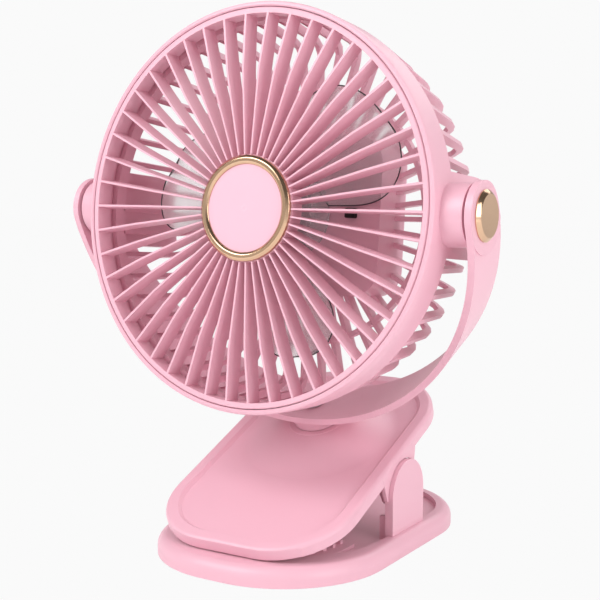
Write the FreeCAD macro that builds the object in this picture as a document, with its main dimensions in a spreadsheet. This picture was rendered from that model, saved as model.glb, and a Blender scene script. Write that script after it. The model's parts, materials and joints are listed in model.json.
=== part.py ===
import FreeCAD, Part
import math
import os
import Sketcher
from FreeCAD import Placement, Rotation, Vector

# Portable clip-on camping fan.
# Millimetres, +Z up, -Y is the front. The origin is the middle of the clip
# base's underside. The head (grilles, drum, impeller) is drawn about the middle
# of its tilt pivot, the yoke about the same point but square to the lever, and
# the lever about its own hinge pin.

doc = FreeCAD.newDocument("ClipFan")
sheet = doc.addObject("Spreadsheet::Sheet", "Sizes")
sheet_rows = []


class Dim:
    """A size from the sheet, or a sum of such sizes, with its expression."""

    def __init__(self, value, text):
        self.value = float(value)
        self.text = text

    def __add__(self, other):
        other = as_dim(other)
        return Dim(self.value + other.value, "(%s + %s)" % (self.text, other.text))

    def __radd__(self, other):
        return as_dim(other) + self

    def __sub__(self, other):
        other = as_dim(other)
        return Dim(self.value - other.value, "(%s - %s)" % (self.text, other.text))

    def __rsub__(self, other):
        return as_dim(other) - self

    def __mul__(self, other):
        other = as_dim(other)
        return Dim(self.value * other.value, "(%s * %s)" % (self.text, other.text))

    def __rmul__(self, other):
        return as_dim(other) * self

    def __truediv__(self, other):
        other = as_dim(other)
        return Dim(self.value / other.value, "(%s / %s)" % (self.text, other.text))

    def __neg__(self):
        return Dim(-self.value, "(-%s)" % self.text)

    def __float__(self):
        return self.value


def as_dim(number):
    if isinstance(number, Dim):
        return number
    return Dim(number, "%.6g" % number if number >= 0 else "(%.6g)" % number)


def cosine(angle):
    return Dim(math.cos(math.radians(angle.value)), "cos(%s)" % angle.text)


def sine(angle):
    return Dim(math.sin(math.radians(angle.value)), "sin(%s)" % angle.text)


def size(name, value, note):
    """One driving dimension: a row of the sheet with its alias."""
    row = len(sheet_rows) + 1
    sheet.set("A%d" % row, name)
    sheet.set("B%d" % row, "%.6g" % value)
    sheet.set("C%d" % row, note)
    sheet.setAlias("B%d" % row, name)
    sheet_rows.append(name)
    return Dim(value, "Sizes." + name)


# Overall layout.
lever_slope = size("lever_slope", 22.65, "lever plate's slope at rest, degrees")
head_pitch = size("head_pitch", 5.67, "head's upward look at rest, degrees")
hinge_y = size("hinge_y", 5.3, "lever hinge behind the base's middle")
hinge_z = size("hinge_z", 24.6, "lever hinge above the ground")
fit_gap = size("fit_gap", 0.3, "gap between pieces that move past each other")
seat_gap = size("seat_gap", 0.05, "gap of a press or push fit, on radius")
run_gap = size("run_gap", 0.06, "running gap of a pin or shaft, on radius")

# Base of the clip.
base_width = size("base_width", 104.3, "base, left to right")
base_length = size("base_length", 152.1, "base, front to back")
base_corner = size("base_corner", 46.9, "corner radius of the base")
base_height = size("base_height", 8.5, "top of the base's rim")
base_lift = size("base_lift", 0.4, "rubber feet stand this far below the skirt")
base_edge = size("base_edge", 3.2, "rounding of the rim's top edge")
base_rim = size("base_rim", 7.0, "width of the base's rim")
base_sink = size("base_sink", 2.6, "depth of the base's top recess")
base_floor = size("base_floor", 2.0, "thickness of the base's floor")
base_wall = size("base_wall", 2.6, "skirt wall of the base")
cover_plate = size("cover_plate", 1.6, "thickness of the base's bottom cover")
post_face = size("post_face", 47.2, "outer face of a hinge post, from the middle")
post_wall = size("post_wall", 3.8, "thickness of a hinge post")
post_half = size("post_half", 14.75, "half the width of a hinge post")
post_skin = size("post_skin", 1.2, "post wall left outside the blind pin hole")
pin_radius = size("pin_radius", 2.5, "hinge pin")
foot_radius = size("foot_radius", 5.5, "rubber foot")
foot_depth = size("foot_depth", 1.2, "rubber foot's thickness")
foot_x = size("foot_x", 30.0, "rubber feet from the middle, sideways")
foot_y = size("foot_y", 50.0, "rubber feet from the middle, lengthways")
screw_x = size("screw_x", 20.0, "base screws from the middle, sideways")
screw_y = size("screw_y", 62.0, "base screws from the middle, lengthways")
base_pad_width = size("base_pad_width", 46.0, "grip pad in the base, sideways")
base_pad_length = size("base_pad_length", 40.0, "grip pad in the base, lengthways")
base_pad_inset = size("base_pad_inset", 16.05, "pad's front edge to the front of the base")
pad_sheet = size("pad_sheet", 1.4, "thickness of a grip pad's sheet")
pad_rib = size("pad_rib", 1.5, "height of a grip pad's ribs")
pad_pitch = size("pad_pitch", 6.0, "spacing of a grip pad's ribs")

# Lever plate of the clip.
plate_front = size("plate_front", 72.5, "plate's front edge ahead of the hinge")
plate_length = size("plate_length", 135.0, "length of the plate")
plate_width = size("plate_width", 90.4, "width of the plate")
plate_corner = size("plate_corner", 32.2, "corner radius of the plate")
plate_rise = size("plate_rise", 13.3, "plate's underside above the hinge")
plate_thick = size("plate_thick", 5.46, "thickness of the plate's rim")
plate_edge = size("plate_edge", 1.9, "rounding of the rim's top edge")
plate_rim = size("plate_rim", 8.0, "width of the plate's rim")
plate_sink = size("plate_sink", 1.5, "depth of the plate's top panel")
plate_skin = size("plate_skin", 1.8, "thickness of the plate's panel")
plate_wall = size("plate_wall", 2.4, "skirt wall of the plate")
ear_wall = size("ear_wall", 3.6, "thickness of a side ear")
ear_front = size("ear_front", 15.0, "ear's front edge ahead of the hinge")
ear_back = size("ear_back", 16.5, "ear's back edge behind the hinge, at the plate")
ear_tip = size("ear_tip", 5.4, "ear's front tip above the hinge")
lug_wall = size("lug_wall", 5.0, "thickness of a hinge lug")
lug_radius = size("lug_radius", 6.5, "round end of a hinge lug")
swivel_back = size("swivel_back", 11.8, "swivel axis behind the hinge, along the plate")
pedestal_rise = size("pedestal_rise", 6.0, "pedestal above the plate's rim")
pedestal_radius = size("pedestal_radius", 14.0, "top of the pedestal")
pedestal_flare = size("pedestal_flare", 19.0, "foot of the pedestal's flare")
foot_rise = size("foot_rise", 6.0, "yoke's foot below its band")
foot_top = size("foot_top", 13.0, "yoke's foot at the band, radius")
foot_end = size("foot_end", 10.5, "yoke's foot at the pedestal, radius")
lever_pad_front = size("lever_pad_front", 58.0, "lever pad's front, ahead of the hinge")

# Yoke.
yoke_radius = size("yoke_radius", 97.5, "outside of the yoke's band")
yoke_thick = size("yoke_thick", 2.8, "thickness of the band")
yoke_width = size("yoke_width", 27.0, "width of the band")
arm_end = size("arm_end", 15.0, "round end of an arm, about the pivot")
cap_radius = size("cap_radius", 10.1, "pivot cap's flange")
cap_face = size("cap_face", 8.4, "pivot cap's flat face")
cap_height = size("cap_height", 1.9, "pivot cap's height")
cap_wall = size("cap_wall", 0.6, "pivot cap's shell")
pivot_radius = size("pivot_radius", 3.0, "shoulder of the pivot screw")
pivot_head = size("pivot_head", 6.0, "head of the pivot screw")
washer_thick = size("washer_thick", 1.0, "friction washer")
spindle_radius = size("spindle_radius", 4.0, "swivel spindle")
spindle_head = size("spindle_head", 8.0, "head of the swivel spindle")

# Drum and grilles.
bezel_radius = size("bezel_radius", 84.4, "outside of the bezel")
drum_radius = size("drum_radius", 84.0, "outside of the drum's back edge")
drum_front = size("drum_front", 17.2, "front of the bezel ahead of the pivot")
drum_wall = size("drum_wall", 2.2, "wall of the drum")
ledge_depth = size("ledge_depth", 9.6, "grille ledge ahead of the pivot")
cheek_angle = size("cheek_angle", 23.0, "sector of each side cheek, degrees")
cheek_back = size("cheek_back", 38.0, "back edge of the cheek")
boss_radius = size("boss_radius", 12.5, "pivot boss on the cheek")
grille_ring = size("grille_ring", 2.4, "width of the grille's outer ring")
grille_ribs = size("grille_ribs", 46, "ribs of the front grille")
grille_rib_out = size("grille_rib_out", 1.9, "rib's width at the rim")
grille_rib_in = size("grille_rib_in", 1.25, "rib's width at the hub")
grille_crown = size("grille_crown", 2.2, "how far the ribs bow out in front")
grille_depth = size("grille_depth", 8.4, "depth of a grille rib")
hub_radius = size("hub_radius", 22.1, "grille's hub")
trim_outer = size("trim_outer", 21.7, "gold ring, outside")
trim_inner = size("trim_inner", 18.0, "gold ring, inside")
trim_height = size("trim_height", 2.4, "gold ring's height")
cage_ribs = size("cage_ribs", 48, "ribs of the back cage")
cage_rib = size("cage_rib", 2.0, "width of a cage rib")
cage_depth = size("cage_depth", 5.6, "depth of a cage rib")
cage_back = size("cage_back", 38.0, "back of the cage behind the pivot")
cage_corner = size("cage_corner", 78.5, "cage's radius at its back corner")
cage_ring = size("cage_ring", 57.0, "cage's middle ring, outside")
cage_ring_wide = size("cage_ring_wide", 2.2, "cage's middle ring, width")
pod_width = size("pod_width", 84.0, "battery pod, sideways")
pod_tall = size("pod_tall", 68.0, "battery pod, upwards")
pod_corner = size("pod_corner", 12.0, "corner radius of the pod")
pod_front = size("pod_front", 20.0, "pod's front wall behind the pivot")
pod_back = size("pod_back", 41.5, "pod's back edge behind the pivot")
pod_wall = size("pod_wall", 2.0, "wall of the pod")
pod_cover = size("pod_cover", 2.4, "thickness of the pod's cover")

# Impeller and motor.
blade_tip = size("blade_tip", 62.0, "impeller's radius")
blade_thick = size("blade_thick", 1.6, "thickness of a blade")
blade_mid = size("blade_mid", 9.0, "blades' middle plane behind the pivot")
blade_count = size("blade_count", 3, "blades")
cup_radius = size("cup_radius", 19.0, "impeller's hub cup")
cup_front = size("cup_front", 0.5, "front of the hub cup behind the pivot")
cup_wall = size("cup_wall", 1.6, "wall of the hub cup")
motor_radius = size("motor_radius", 12.5, "motor can")
motor_front = size("motor_front", 5.0, "motor's front behind the pivot")
shaft_radius = size("shaft_radius", 1.15, "motor shaft")

# Inside the pod.
cell_radius = size("cell_radius", 9.2, "battery cell")
cell_length = size("cell_length", 65.0, "battery cell")
cell_inset = size("cell_inset", 2.1, "cells' flat end to the pod's wall, clear of its corners")
board_wide = size("board_wide", 11.3, "circuit board, sideways")
board_tall = size("board_tall", 43.0, "circuit board, upwards")
board_thick = size("board_thick", 1.6, "circuit board")
board_back = size("board_back", 7.0, "board's back face ahead of the cover")
button_radius = size("button_radius", 4.2, "power button")
button_travel = size("button_travel", 0.8, "power button's travel")
button_proud = size("button_proud", 1.4, "power button above the cover")
button_up = size("button_up", 16.0, "power button above the middle")

# Clip spring.
wire_radius = size("wire_radius", 0.9, "spring wire")
coil_radius = size("coil_radius", 6.4, "spring's mean coil radius")
coil_turns = size("coil_turns", 5, "turns of the spring")
coil_pitch = size("coil_pitch", 2.7, "spring's pitch")
spring_side = size("spring_side", 19.4, "middle of the spring, from the middle")
leg_length = size("leg_length", 24.0, "spring's legs")

doc.recompute()

# Where the lever, the yoke and the head stand, from the sizes above.
swivel_z = plate_rise + plate_thick + pedestal_rise
pivot_z = swivel_z + foot_rise + fit_gap + yoke_radius
slope_c = cosine(lever_slope)
slope_s = sine(lever_slope)
pivot_y_world = hinge_y + swivel_back * slope_c - pivot_z * slope_s
pivot_z_world = hinge_z + swivel_back * slope_s + pivot_z * slope_c


def bind(obj, prop, value):
    """Give a property its value and, where it comes from the sheet, its expression."""
    value = as_dim(value)
    setattr(obj, prop, value.value)
    if "Sizes." in value.text:
        obj.setExpression(prop, value.text)


def stand(obj, frame, x=0, y=0, z=0, axis=None, turn=0):
    """Place a sub-part in the base, lever, yoke or head frame."""
    x = as_dim(x)
    y = as_dim(y)
    z = as_dim(z)
    zero = as_dim(0)
    if frame == "base":
        origin = (zero, zero, zero)
        tilt = zero
    elif frame == "lever":
        origin = (zero, hinge_y, hinge_z)
        tilt = lever_slope
    elif frame == "yoke":
        origin = (zero, pivot_y_world, pivot_z_world)
        tilt = lever_slope
    else:
        origin = (zero, pivot_y_world, pivot_z_world)
        tilt = -head_pitch
    place = (
        origin[0] + x,
        origin[1] + y * cosine(tilt) - z * sine(tilt),
        origin[2] + y * sine(tilt) + z * cosine(tilt),
    )
    spin = Rotation(axis, turn) if axis else Rotation()
    lean = Rotation(Vector(1, 0, 0), tilt.value)
    obj.Placement = Placement(Vector(*[p.value for p in place]), lean * spin)
    for letter, part in zip("xyz", place):
        if "Sizes." in part.text:
            obj.setExpression("Placement.Base." + letter, part.text)


def new_body(label, frame):
    body = doc.addObject("PartDesign::Body", label)
    body.Label = label
    body.AllowCompound = True
    stand(body, frame)
    return body


def plane_of(body, role):
    for feature in body.Origin.OriginFeatures:
        if feature.Role == role:
            return feature
    raise ValueError(role)


def new_sketch(body, name, role, lift=0):
    """A sketch on one of the body's own planes, lifted along its normal."""
    sketch = body.newObject("Sketcher::SketchObject", body.Label + "_" + name)
    sketch.AttachmentSupport = [(plane_of(body, role), "")]
    sketch.MapMode = "FlatFace"
    lift = as_dim(lift)
    sketch.AttachmentOffset = Placement(Vector(0, 0, lift.value), Rotation())
    if "Sizes." in lift.text:
        sketch.setExpression("AttachmentOffset.Base.z", lift.text)
    return sketch


def pin_point(sketch, index, spot, x, y):
    """Hold one end of a line, or a centre, at x, y by named sizes."""
    for kind, value, axis in (("DistanceX", as_dim(x), -2), ("DistanceY", as_dim(y), -1)):
        if value.value == 0 and "Sizes." not in value.text:
            sketch.addConstraint(Sketcher.Constraint("PointOnObject", index, spot, axis))
            continue
        number = sketch.addConstraint(Sketcher.Constraint(kind, -1, 1, index, spot, value.value))
        if "Sizes." in value.text:
            sketch.setExpression("Constraints[%d]" % number, value.text)


def draw_outline(sketch, points):
    """A closed outline of straight lines through points held by named sizes."""
    first = sketch.GeometryCount
    spots = [Vector(as_dim(x).value, as_dim(y).value, 0) for x, y in points]
    for start, end in zip(spots, spots[1:] + spots[:1]):
        sketch.addGeometry(Part.LineSegment(start, end), False)
    count = len(points)
    for step in range(count):
        after = first + (step + 1) % count
        sketch.addConstraint(Sketcher.Constraint("Coincident", first + step, 2, after, 1))
    for step, (x, y) in enumerate(points):
        pin_point(sketch, first + step, 1, x, y)


def draw_circle(sketch, radius, x=0, y=0):
    radius = as_dim(radius)
    index = sketch.addGeometry(
        Part.Circle(Vector(as_dim(x).value, as_dim(y).value, 0), Vector(0, 0, 1), radius.value), False
    )
    pin_point(sketch, index, 3, x, y)
    number = sketch.addConstraint(Sketcher.Constraint("Radius", index, radius.value))
    if "Sizes." in radius.text:
        sketch.setExpression("Constraints[%d]" % number, radius.text)


def draw_rounded(sketch, width, front, back, radius):
    """A rectangle with round corners, held by its sides and its corner radius."""
    half, low, high, bend = [as_dim(v) for v in (as_dim(width) / 2, front, back, radius)]
    x, y0, y1, r = half.value, low.value, high.value, bend.value
    turns = [(x - r, y0 + r, -90), (x - r, y1 - r, 0), (r - x, y1 - r, 90), (r - x, y0 + r, 180)]
    lines = [((r - x, y0), (x - r, y0)), ((x, y0 + r), (x, y1 - r)), ((x - r, y1), (r - x, y1)),
             ((-x, y1 - r), (-x, y0 + r))]
    first = sketch.GeometryCount
    for (start, end), (cx, cy, angle) in zip(lines, turns):
        sketch.addGeometry(Part.LineSegment(Vector(*start, 0), Vector(*end, 0)), False)
        around = Part.Circle(Vector(cx, cy, 0), Vector(0, 0, 1), r)
        begin = math.radians(angle)
        sketch.addGeometry(Part.ArcOfCircle(around, begin, begin + math.pi / 2), False)
    for step in range(4):
        line, arc, after = first + 2 * step, first + 2 * step + 1, first + (2 * step + 2) % 8
        sketch.addConstraint(Sketcher.Constraint("Tangent", line, 2, arc, 1))
        sketch.addConstraint(Sketcher.Constraint("Tangent", arc, 2, after, 1))
        kind, value = (("DistanceY", low), ("DistanceX", half), ("DistanceY", high), ("DistanceX", -half))[step]
        number = sketch.addConstraint(Sketcher.Constraint(kind, -1, 1, line, 1, value.value))
        if "Sizes." in value.text:
            sketch.setExpression("Constraints[%d]" % number, value.text)
        if step:
            sketch.addConstraint(Sketcher.Constraint("Equal", first + 1, arc))
    sketch.addConstraint(Sketcher.Constraint("Horizontal", first))
    sketch.addConstraint(Sketcher.Constraint("Vertical", first + 2))
    number = sketch.addConstraint(Sketcher.Constraint("Radius", first + 1, r))
    if "Sizes." in bend.text:
        sketch.setExpression("Constraints[%d]" % number, bend.text)


def box_points(width, front, back):
    half = as_dim(width) / 2
    return [(-half, front), (half, front), (half, back), (-half, back)]


def pad(body, sketch, length, middle=False, reverse=False):
    feature = body.newObject("PartDesign::Pad", sketch.Name + "_pad")
    feature.Profile = sketch
    bind(feature, "Length", length)
    if middle:
        feature.SideType = "Symmetric"
    feature.Reversed = reverse
    sketch.Visibility = False
    doc.recompute()
    return feature


def pocket(body, sketch, length, reverse=False, middle=False):
    before = body.Shape.Volume
    feature = body.newObject("PartDesign::Pocket", sketch.Name + "_cut")
    feature.Profile = sketch
    bind(feature, "Length", length)
    if middle:
        feature.SideType = "Symmetric"
    feature.Reversed = reverse
    doc.recompute()
    if not body.Shape.Volume < before - 1e-3:
        raise ValueError("nothing cut by " + feature.Name)
    return feature


def revolve(body, sketch, angle=360, middle=False, axis="V_Axis"):
    feature = body.newObject("PartDesign::Revolution", sketch.Name + "_turn")
    feature.Profile = sketch
    feature.ReferenceAxis = (sketch, [axis])
    feature.Midplane = middle
    bind(feature, "Angle", angle)
    doc.recompute()
    return feature


def groove(body, sketch, angle=360, middle=False, axis="V_Axis"):
    before = body.Shape.Volume
    feature = body.newObject("PartDesign::Groove", sketch.Name + "_cut")
    feature.Profile = sketch
    feature.ReferenceAxis = (sketch, [axis])
    feature.Midplane = middle
    bind(feature, "Angle", angle)
    doc.recompute()
    if not body.Shape.Volume < before - 1e-3:
        raise ValueError("nothing cut by " + feature.Name)
    return feature


def polar(body, features, sketch, count, axis="N_Axis"):
    feature = body.newObject("PartDesign::PolarPattern", features[0].Name + "_round")
    feature.Originals = features
    feature.Axis = (sketch, [axis])
    feature.Angle = 360
    count = as_dim(count)
    feature.Occurrences = int(round(count.value))
    if "Sizes." in count.text:
        feature.setExpression("Occurrences", count.text)
    body.Tip = feature
    doc.recompute()
    return feature


def mirror(body, features, role):
    feature = body.newObject("PartDesign::Mirrored", features[0].Name + "_mirror")
    feature.Originals = features
    feature.MirrorPlane = (plane_of(body, role), [""])
    body.Tip = feature
    doc.recompute()
    return feature


def round_edges(body, radius, chosen, kind="Fillet"):
    """Round or bevel the edges of the body's tip that the rule chooses."""
    base = body.Tip
    shape = base.Shape
    names = ["Edge%d" % (n + 1) for n, edge in enumerate(shape.Edges) if chosen(edge)]
    if not names:
        raise ValueError("no edge to round on " + body.Label)
    feature = body.newObject("PartDesign::" + kind, body.Label + "_" + kind.lower())
    feature.Base = (base, names)
    bind(feature, "Radius" if kind == "Fillet" else "Size", radius)
    body.Tip = feature
    doc.recompute()
    return feature


def at_height(edge, z, tolerance=0.02):
    box = edge.BoundBox
    return abs(box.ZMin - z) < tolerance and abs(box.ZMax - z) < tolerance



def cylinder(name, radius, length, frame, x=0, y=0, z=0, axis=None, turn=0):
    """A plain round piece; its axis is Z unless it is turned."""
    item = doc.addObject("Part::Cylinder", name)
    bind(item, "Radius", radius)
    bind(item, "Height", length)
    stand(item, frame, x, y, z, axis, turn)
    return item


def fused(label, items):
    item = doc.addObject("Part::MultiFuse", label)
    item.Label = label
    item.Shapes = items
    doc.recompute()
    return item


def grouped(label, items):
    item = doc.addObject("Part::Compound", label)
    item.Label = label
    item.Links = items
    doc.recompute()
    return item


def cut_away(label, base, tool):
    item = doc.addObject("Part::Cut", label)
    item.Label = label
    item.Base = base
    item.Tool = tool
    doc.recompute()
    return item


LEFTWARD = (Vector(0, 1, 0), -90)
RIGHTWARD = (Vector(0, 1, 0), 90)
BACKWARD = (Vector(1, 0, 0), -90)
FORWARD = (Vector(1, 0, 0), 90)

# Base tray: skirt, rim, recessed floor and the two hinge posts, one moulding.
tray = new_body("base_tray", "base")
shape = new_sketch(tray, "plan", "XY_Plane", base_lift)
draw_rounded(shape, base_width, -base_length / 2, base_length / 2, base_corner)
pad(tray, shape, base_height - base_lift)
round_edges(tray, base_edge, lambda edge: at_height(edge, base_height.value))
shape = new_sketch(tray, "recess", "XY_Plane", base_height)
draw_rounded(
    shape, base_width - 2 * base_rim, base_rim - base_length / 2, base_length / 2 - base_rim, base_corner - base_rim
)
pocket(tray, shape, base_sink)
floor_top = base_height - base_sink
under = floor_top - base_floor
shape = new_sketch(tray, "underside", "XY_Plane", base_lift)
draw_rounded(
    shape, base_width - 2 * base_wall, base_wall - base_length / 2, base_length / 2 - base_wall, base_corner - base_wall
)
pocket(tray, shape, under - base_lift, reverse=True)
shape = new_sketch(tray, "screw_boss", "XY_Plane", base_lift + cover_plate + fit_gap)
for side in (-1, 1):
    for end in (-1, 1):
        draw_circle(shape, 3.2, side * screw_x, end * screw_y)
pad(tray, shape, under + 0.4 - base_lift - cover_plate - fit_gap)
post_in = post_face - post_wall
for side, word in ((1, "right"), (-1, "left")):
    shape = new_sketch(tray, "post_" + word, "YZ_Plane", post_in if side > 0 else -post_face)
    draw_outline(
        shape,
        [
            (hinge_y - post_half, under + 0.5),
            (hinge_y + post_half, under + 0.5),
            (hinge_y + post_half, hinge_z),
            (hinge_y - post_half, hinge_z),
        ],
    )
    pad(tray, shape, post_wall)
    shape = new_sketch(tray, "top_" + word, "YZ_Plane", post_in if side > 0 else -post_face)
    draw_circle(shape, post_half, hinge_y, hinge_z)
    pad(tray, shape, post_wall)
shape = new_sketch(tray, "post_rib", "XY_Plane", under + 0.5)
for side in (-1, 1):
    for along in (-post_half + 1.5, -1.0, post_half - 3.5):
        near = side * (post_in + 0.4)
        far = side * (post_in - 3.4)
        left, right = (near, far) if side < 0 else (far, near)
        start = hinge_y + along
        draw_outline(shape, [(left, start), (right, start), (right, start + 2), (left, start + 2)])
pad(tray, shape, hinge_z - lug_radius - 1.6 - under - 0.5)
shape = new_sketch(tray, "pin_hole", "YZ_Plane", 0)
draw_circle(shape, pin_radius + seat_gap, hinge_y, hinge_z)
pocket(tray, shape, 2 * (post_face - post_skin), middle=True)

# Bottom cover, rubber feet and screws of the base.
cover = new_body("base_cover", "base")
shape = new_sketch(cover, "plan", "XY_Plane", base_lift)
inset = base_wall + fit_gap / 2
draw_rounded(shape, base_width - 2 * inset, inset - base_length / 2, base_length / 2 - inset, base_corner - inset)
pad(cover, shape, cover_plate)
shape = new_sketch(cover, "foot_seat", "XY_Plane", base_lift)
for side in (-1, 1):
    for end in (-1, 1):
        draw_circle(shape, foot_radius + seat_gap, side * foot_x, end * foot_y)
pocket(cover, shape, foot_depth - base_lift, reverse=True)
shape = new_sketch(cover, "screw_hole", "XY_Plane", base_lift)
for side in (-1, 1):
    for end in (-1, 1):
        draw_circle(shape, 1.6, side * screw_x, end * screw_y)
pocket(cover, shape, cover_plate, reverse=True)

feet = []
screws = []
for side in (-1, 1):
    for end in (-1, 1):
        feet.append(cylinder("foot", foot_radius, foot_depth, "base", side * foot_x, end * foot_y, 0))
        shank = cylinder("shank", 1.5, cover_plate, "base", side * screw_x, end * screw_y, base_lift)
        head = cylinder("head", 2.6, base_lift * 0.75, "base", side * screw_x, end * screw_y, base_lift / 4)
        screws.append(fused("base_screw", [shank, head]))
grouped("rubber_feet", feet)
grouped("base_screws", screws)


def grip_pad(label, frame, width, length, front, level, up, ribs):
    """Soft sheet with a ladder of cross ribs on the side that grips."""
    body = new_body(label, frame)
    low = level if up else level - pad_sheet
    shape = new_sketch(body, "sheet", "XY_Plane", low)
    draw_rounded(shape, width, -front, length - front, 4)
    pad(body, shape, pad_sheet)
    shape = new_sketch(body, "rib", "XY_Plane", low if up else low - pad_rib)
    draw_outline(shape, box_points(width - 6, 3 - front, 5 - front))
    rib = pad(body, shape, pad_rib + pad_sheet)
    rows = body.newObject("PartDesign::LinearPattern", label + "_ladder")
    rows.Originals = [rib]
    rows.Direction = (shape, ["V_Axis"])
    bind(rows, "Length", pad_pitch * (ribs - 1))
    rows.Occurrences = ribs
    body.Tip = rows
    doc.recompute()
    return body


grip_pad("base_jaw_pad", "base", base_pad_width, base_pad_length, base_length / 2 - base_pad_inset, floor_top + seat_gap, True, 6)

# Lever plate: rim, sunk panel, ears round the posts, hinge lugs, swivel pedestal.
lever = new_body("lever_plate", "lever")
plate_top = plate_rise + plate_thick
plate_back = plate_length - plate_front
shape = new_sketch(lever, "plan", "XY_Plane", plate_rise)
draw_rounded(shape, plate_width, -plate_front, plate_back, plate_corner)
pad(lever, shape, plate_thick)
round_edges(lever, plate_edge, lambda edge: at_height(edge, plate_top.value))
shape = new_sketch(lever, "panel", "XY_Plane", plate_top)
draw_rounded(
    shape, plate_width - 2 * plate_rim, plate_rim - plate_front, plate_back - plate_rim, plate_corner - plate_rim
)
pocket(lever, shape, plate_sink)
panel_top = plate_top - plate_sink
panel_under = panel_top - plate_skin
shape = new_sketch(lever, "hollow", "XY_Plane", plate_rise)
draw_rounded(
    shape, plate_width - 2 * plate_wall, plate_wall - plate_front, plate_back - plate_wall, plate_corner - plate_wall
)
pocket(lever, shape, panel_under - plate_rise, reverse=True)
shape = new_sketch(lever, "rib", "XY_Plane", plate_rise + 0.3)
for across, inset in ((-30, plate_wall + 3.2), (-15, plate_wall - 0.6), (13, plate_wall - 0.6), (28, plate_wall + 3.2)):
    draw_outline(
        shape,
        [
            (across, inset - plate_front),
            (across + 2, inset - plate_front),
            (across + 2, plate_back - inset),
            (across, plate_back - inset),
        ],
    )
pad(lever, shape, panel_under - plate_rise)
ear_out = post_face
ear_in = ear_out - ear_wall
for side, word in ((1, "right"), (-1, "left")):
    shape = new_sketch(lever, "ear_" + word, "YZ_Plane", ear_in if side > 0 else -ear_out)
    draw_outline(
        shape,
        [
            (-ear_front, plate_top - plate_edge),
            (-ear_front, ear_tip),
            (-ear_front + 3, ear_tip - 1),
            (ear_back - 4, ear_tip + 1),
            (ear_back, plate_rise - 0.2),
            (ear_back, plate_top - plate_edge),
        ],
    )
    pad(lever, shape, ear_wall)
    lug_out = post_in - fit_gap * 2 - 1
    shape = new_sketch(lever, "lug_" + word, "YZ_Plane", lug_out - lug_wall if side > 0 else -lug_out)
    draw_outline(
        shape,
        [
            (-lug_radius, 0),
            (lug_radius, 0),
            (lug_radius + 4, panel_under + 0.3),
            (-lug_radius - 4, panel_under + 0.3),
        ],
    )
    pad(lever, shape, lug_wall)
    shape = new_sketch(lever, "lug_end_" + word, "YZ_Plane", lug_out - lug_wall if side > 0 else -lug_out)
    draw_circle(shape, lug_radius, 0, 0)
    pad(lever, shape, lug_wall)
shape = new_sketch(lever, "arch", "YZ_Plane", post_in - fit_gap)
draw_circle(shape, post_half + fit_gap, 0, 0)
pocket(lever, shape, post_wall + 4, reverse=True)
shape = new_sketch(lever, "arch_left", "YZ_Plane", -post_in + fit_gap)
draw_circle(shape, post_half + fit_gap, 0, 0)
pocket(lever, shape, post_wall + 4)
shape = new_sketch(lever, "pin_bore", "YZ_Plane", 0)
draw_circle(shape, pin_radius + run_gap, 0, 0)
pocket(lever, shape, 2 * (lug_out + 0.5), middle=True)
shape = new_sketch(lever, "pedestal", "YZ_Plane", 0)
shape.AttachmentOffset = Placement(Vector(swivel_back.value, 0, 0), Rotation())
shape.setExpression("AttachmentOffset.Base.x", swivel_back.text)
draw_outline(
    shape,
    [
        (0, panel_under - 2.6),
        (spindle_head + 4, panel_under - 2.6),
        (spindle_head + 4, panel_top - 0.5),
        (pedestal_flare, panel_top - 0.5),
        (pedestal_flare, panel_top),
        (pedestal_radius + 2.4, swivel_z - 2.6),
        (pedestal_radius, swivel_z - 0.8),
        (pedestal_radius - 0.8, swivel_z),
        (0, swivel_z),
    ],
)
revolve(lever, shape)
nut_seat = panel_under - 2.6
shape = new_sketch(lever, "spindle_bore", "XY_Plane", nut_seat - 1)
draw_circle(shape, spindle_radius + run_gap, 0, swivel_back)
pocket(lever, shape, swivel_z - nut_seat + 2, reverse=True)

jaw = grip_pad(
    "lever_jaw_pad", "lever", base_pad_width, base_pad_length - 8, lever_pad_front, plate_rise + 0.2, False, 5
)

# Hinge pin and its clip spring, wound round it, one leg on each jaw.
cylinder("hinge_pin", pin_radius, 2 * (post_face - post_skin - fit_gap), "base",
         -(post_face - post_skin - fit_gap), hinge_y, hinge_z, *RIGHTWARD).Label = "hinge_pin"

# The lower leg runs back along the base's floor and the upper one along the
# plate's underside. Each leaves the coil along its tangent and ends just clear.
leg = leg_length.value
coil_r = coil_radius.value
slope = math.radians(lever_slope.value)
low_touch = (hinge_z - floor_top - wire_radius - 0.1).value
top_touch = (panel_under - wire_radius - 0.1).value
leg_reach = math.hypot(leg, coil_r)
dip = math.atan2(leg, coil_r) - math.acos(low_touch / leg_reach)
rise = math.atan2(leg, coil_r) - math.acos(top_touch / leg_reach)
start_angle = -math.pi / 2 - dip
sweep = 2 * math.pi * int(round(coil_turns.value)) - (math.pi + dip + rise + slope)
parts_of_turn = int(math.ceil(sweep / (math.pi / 2)))
lead = coil_pitch.value * sweep / (2 * math.pi)


def on_coil(share):
    """Point and unit tangent at a share of the coil, turning front over top."""
    angle = start_angle - share * sweep
    x = -lead / 2 + lead * share
    point = Vector(x, coil_r * math.cos(angle), coil_r * math.sin(angle))
    tangent = Vector(lead / sweep, coil_r * math.sin(angle), -coil_r * math.cos(angle))
    tangent.normalize()
    return point, tangent


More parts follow.
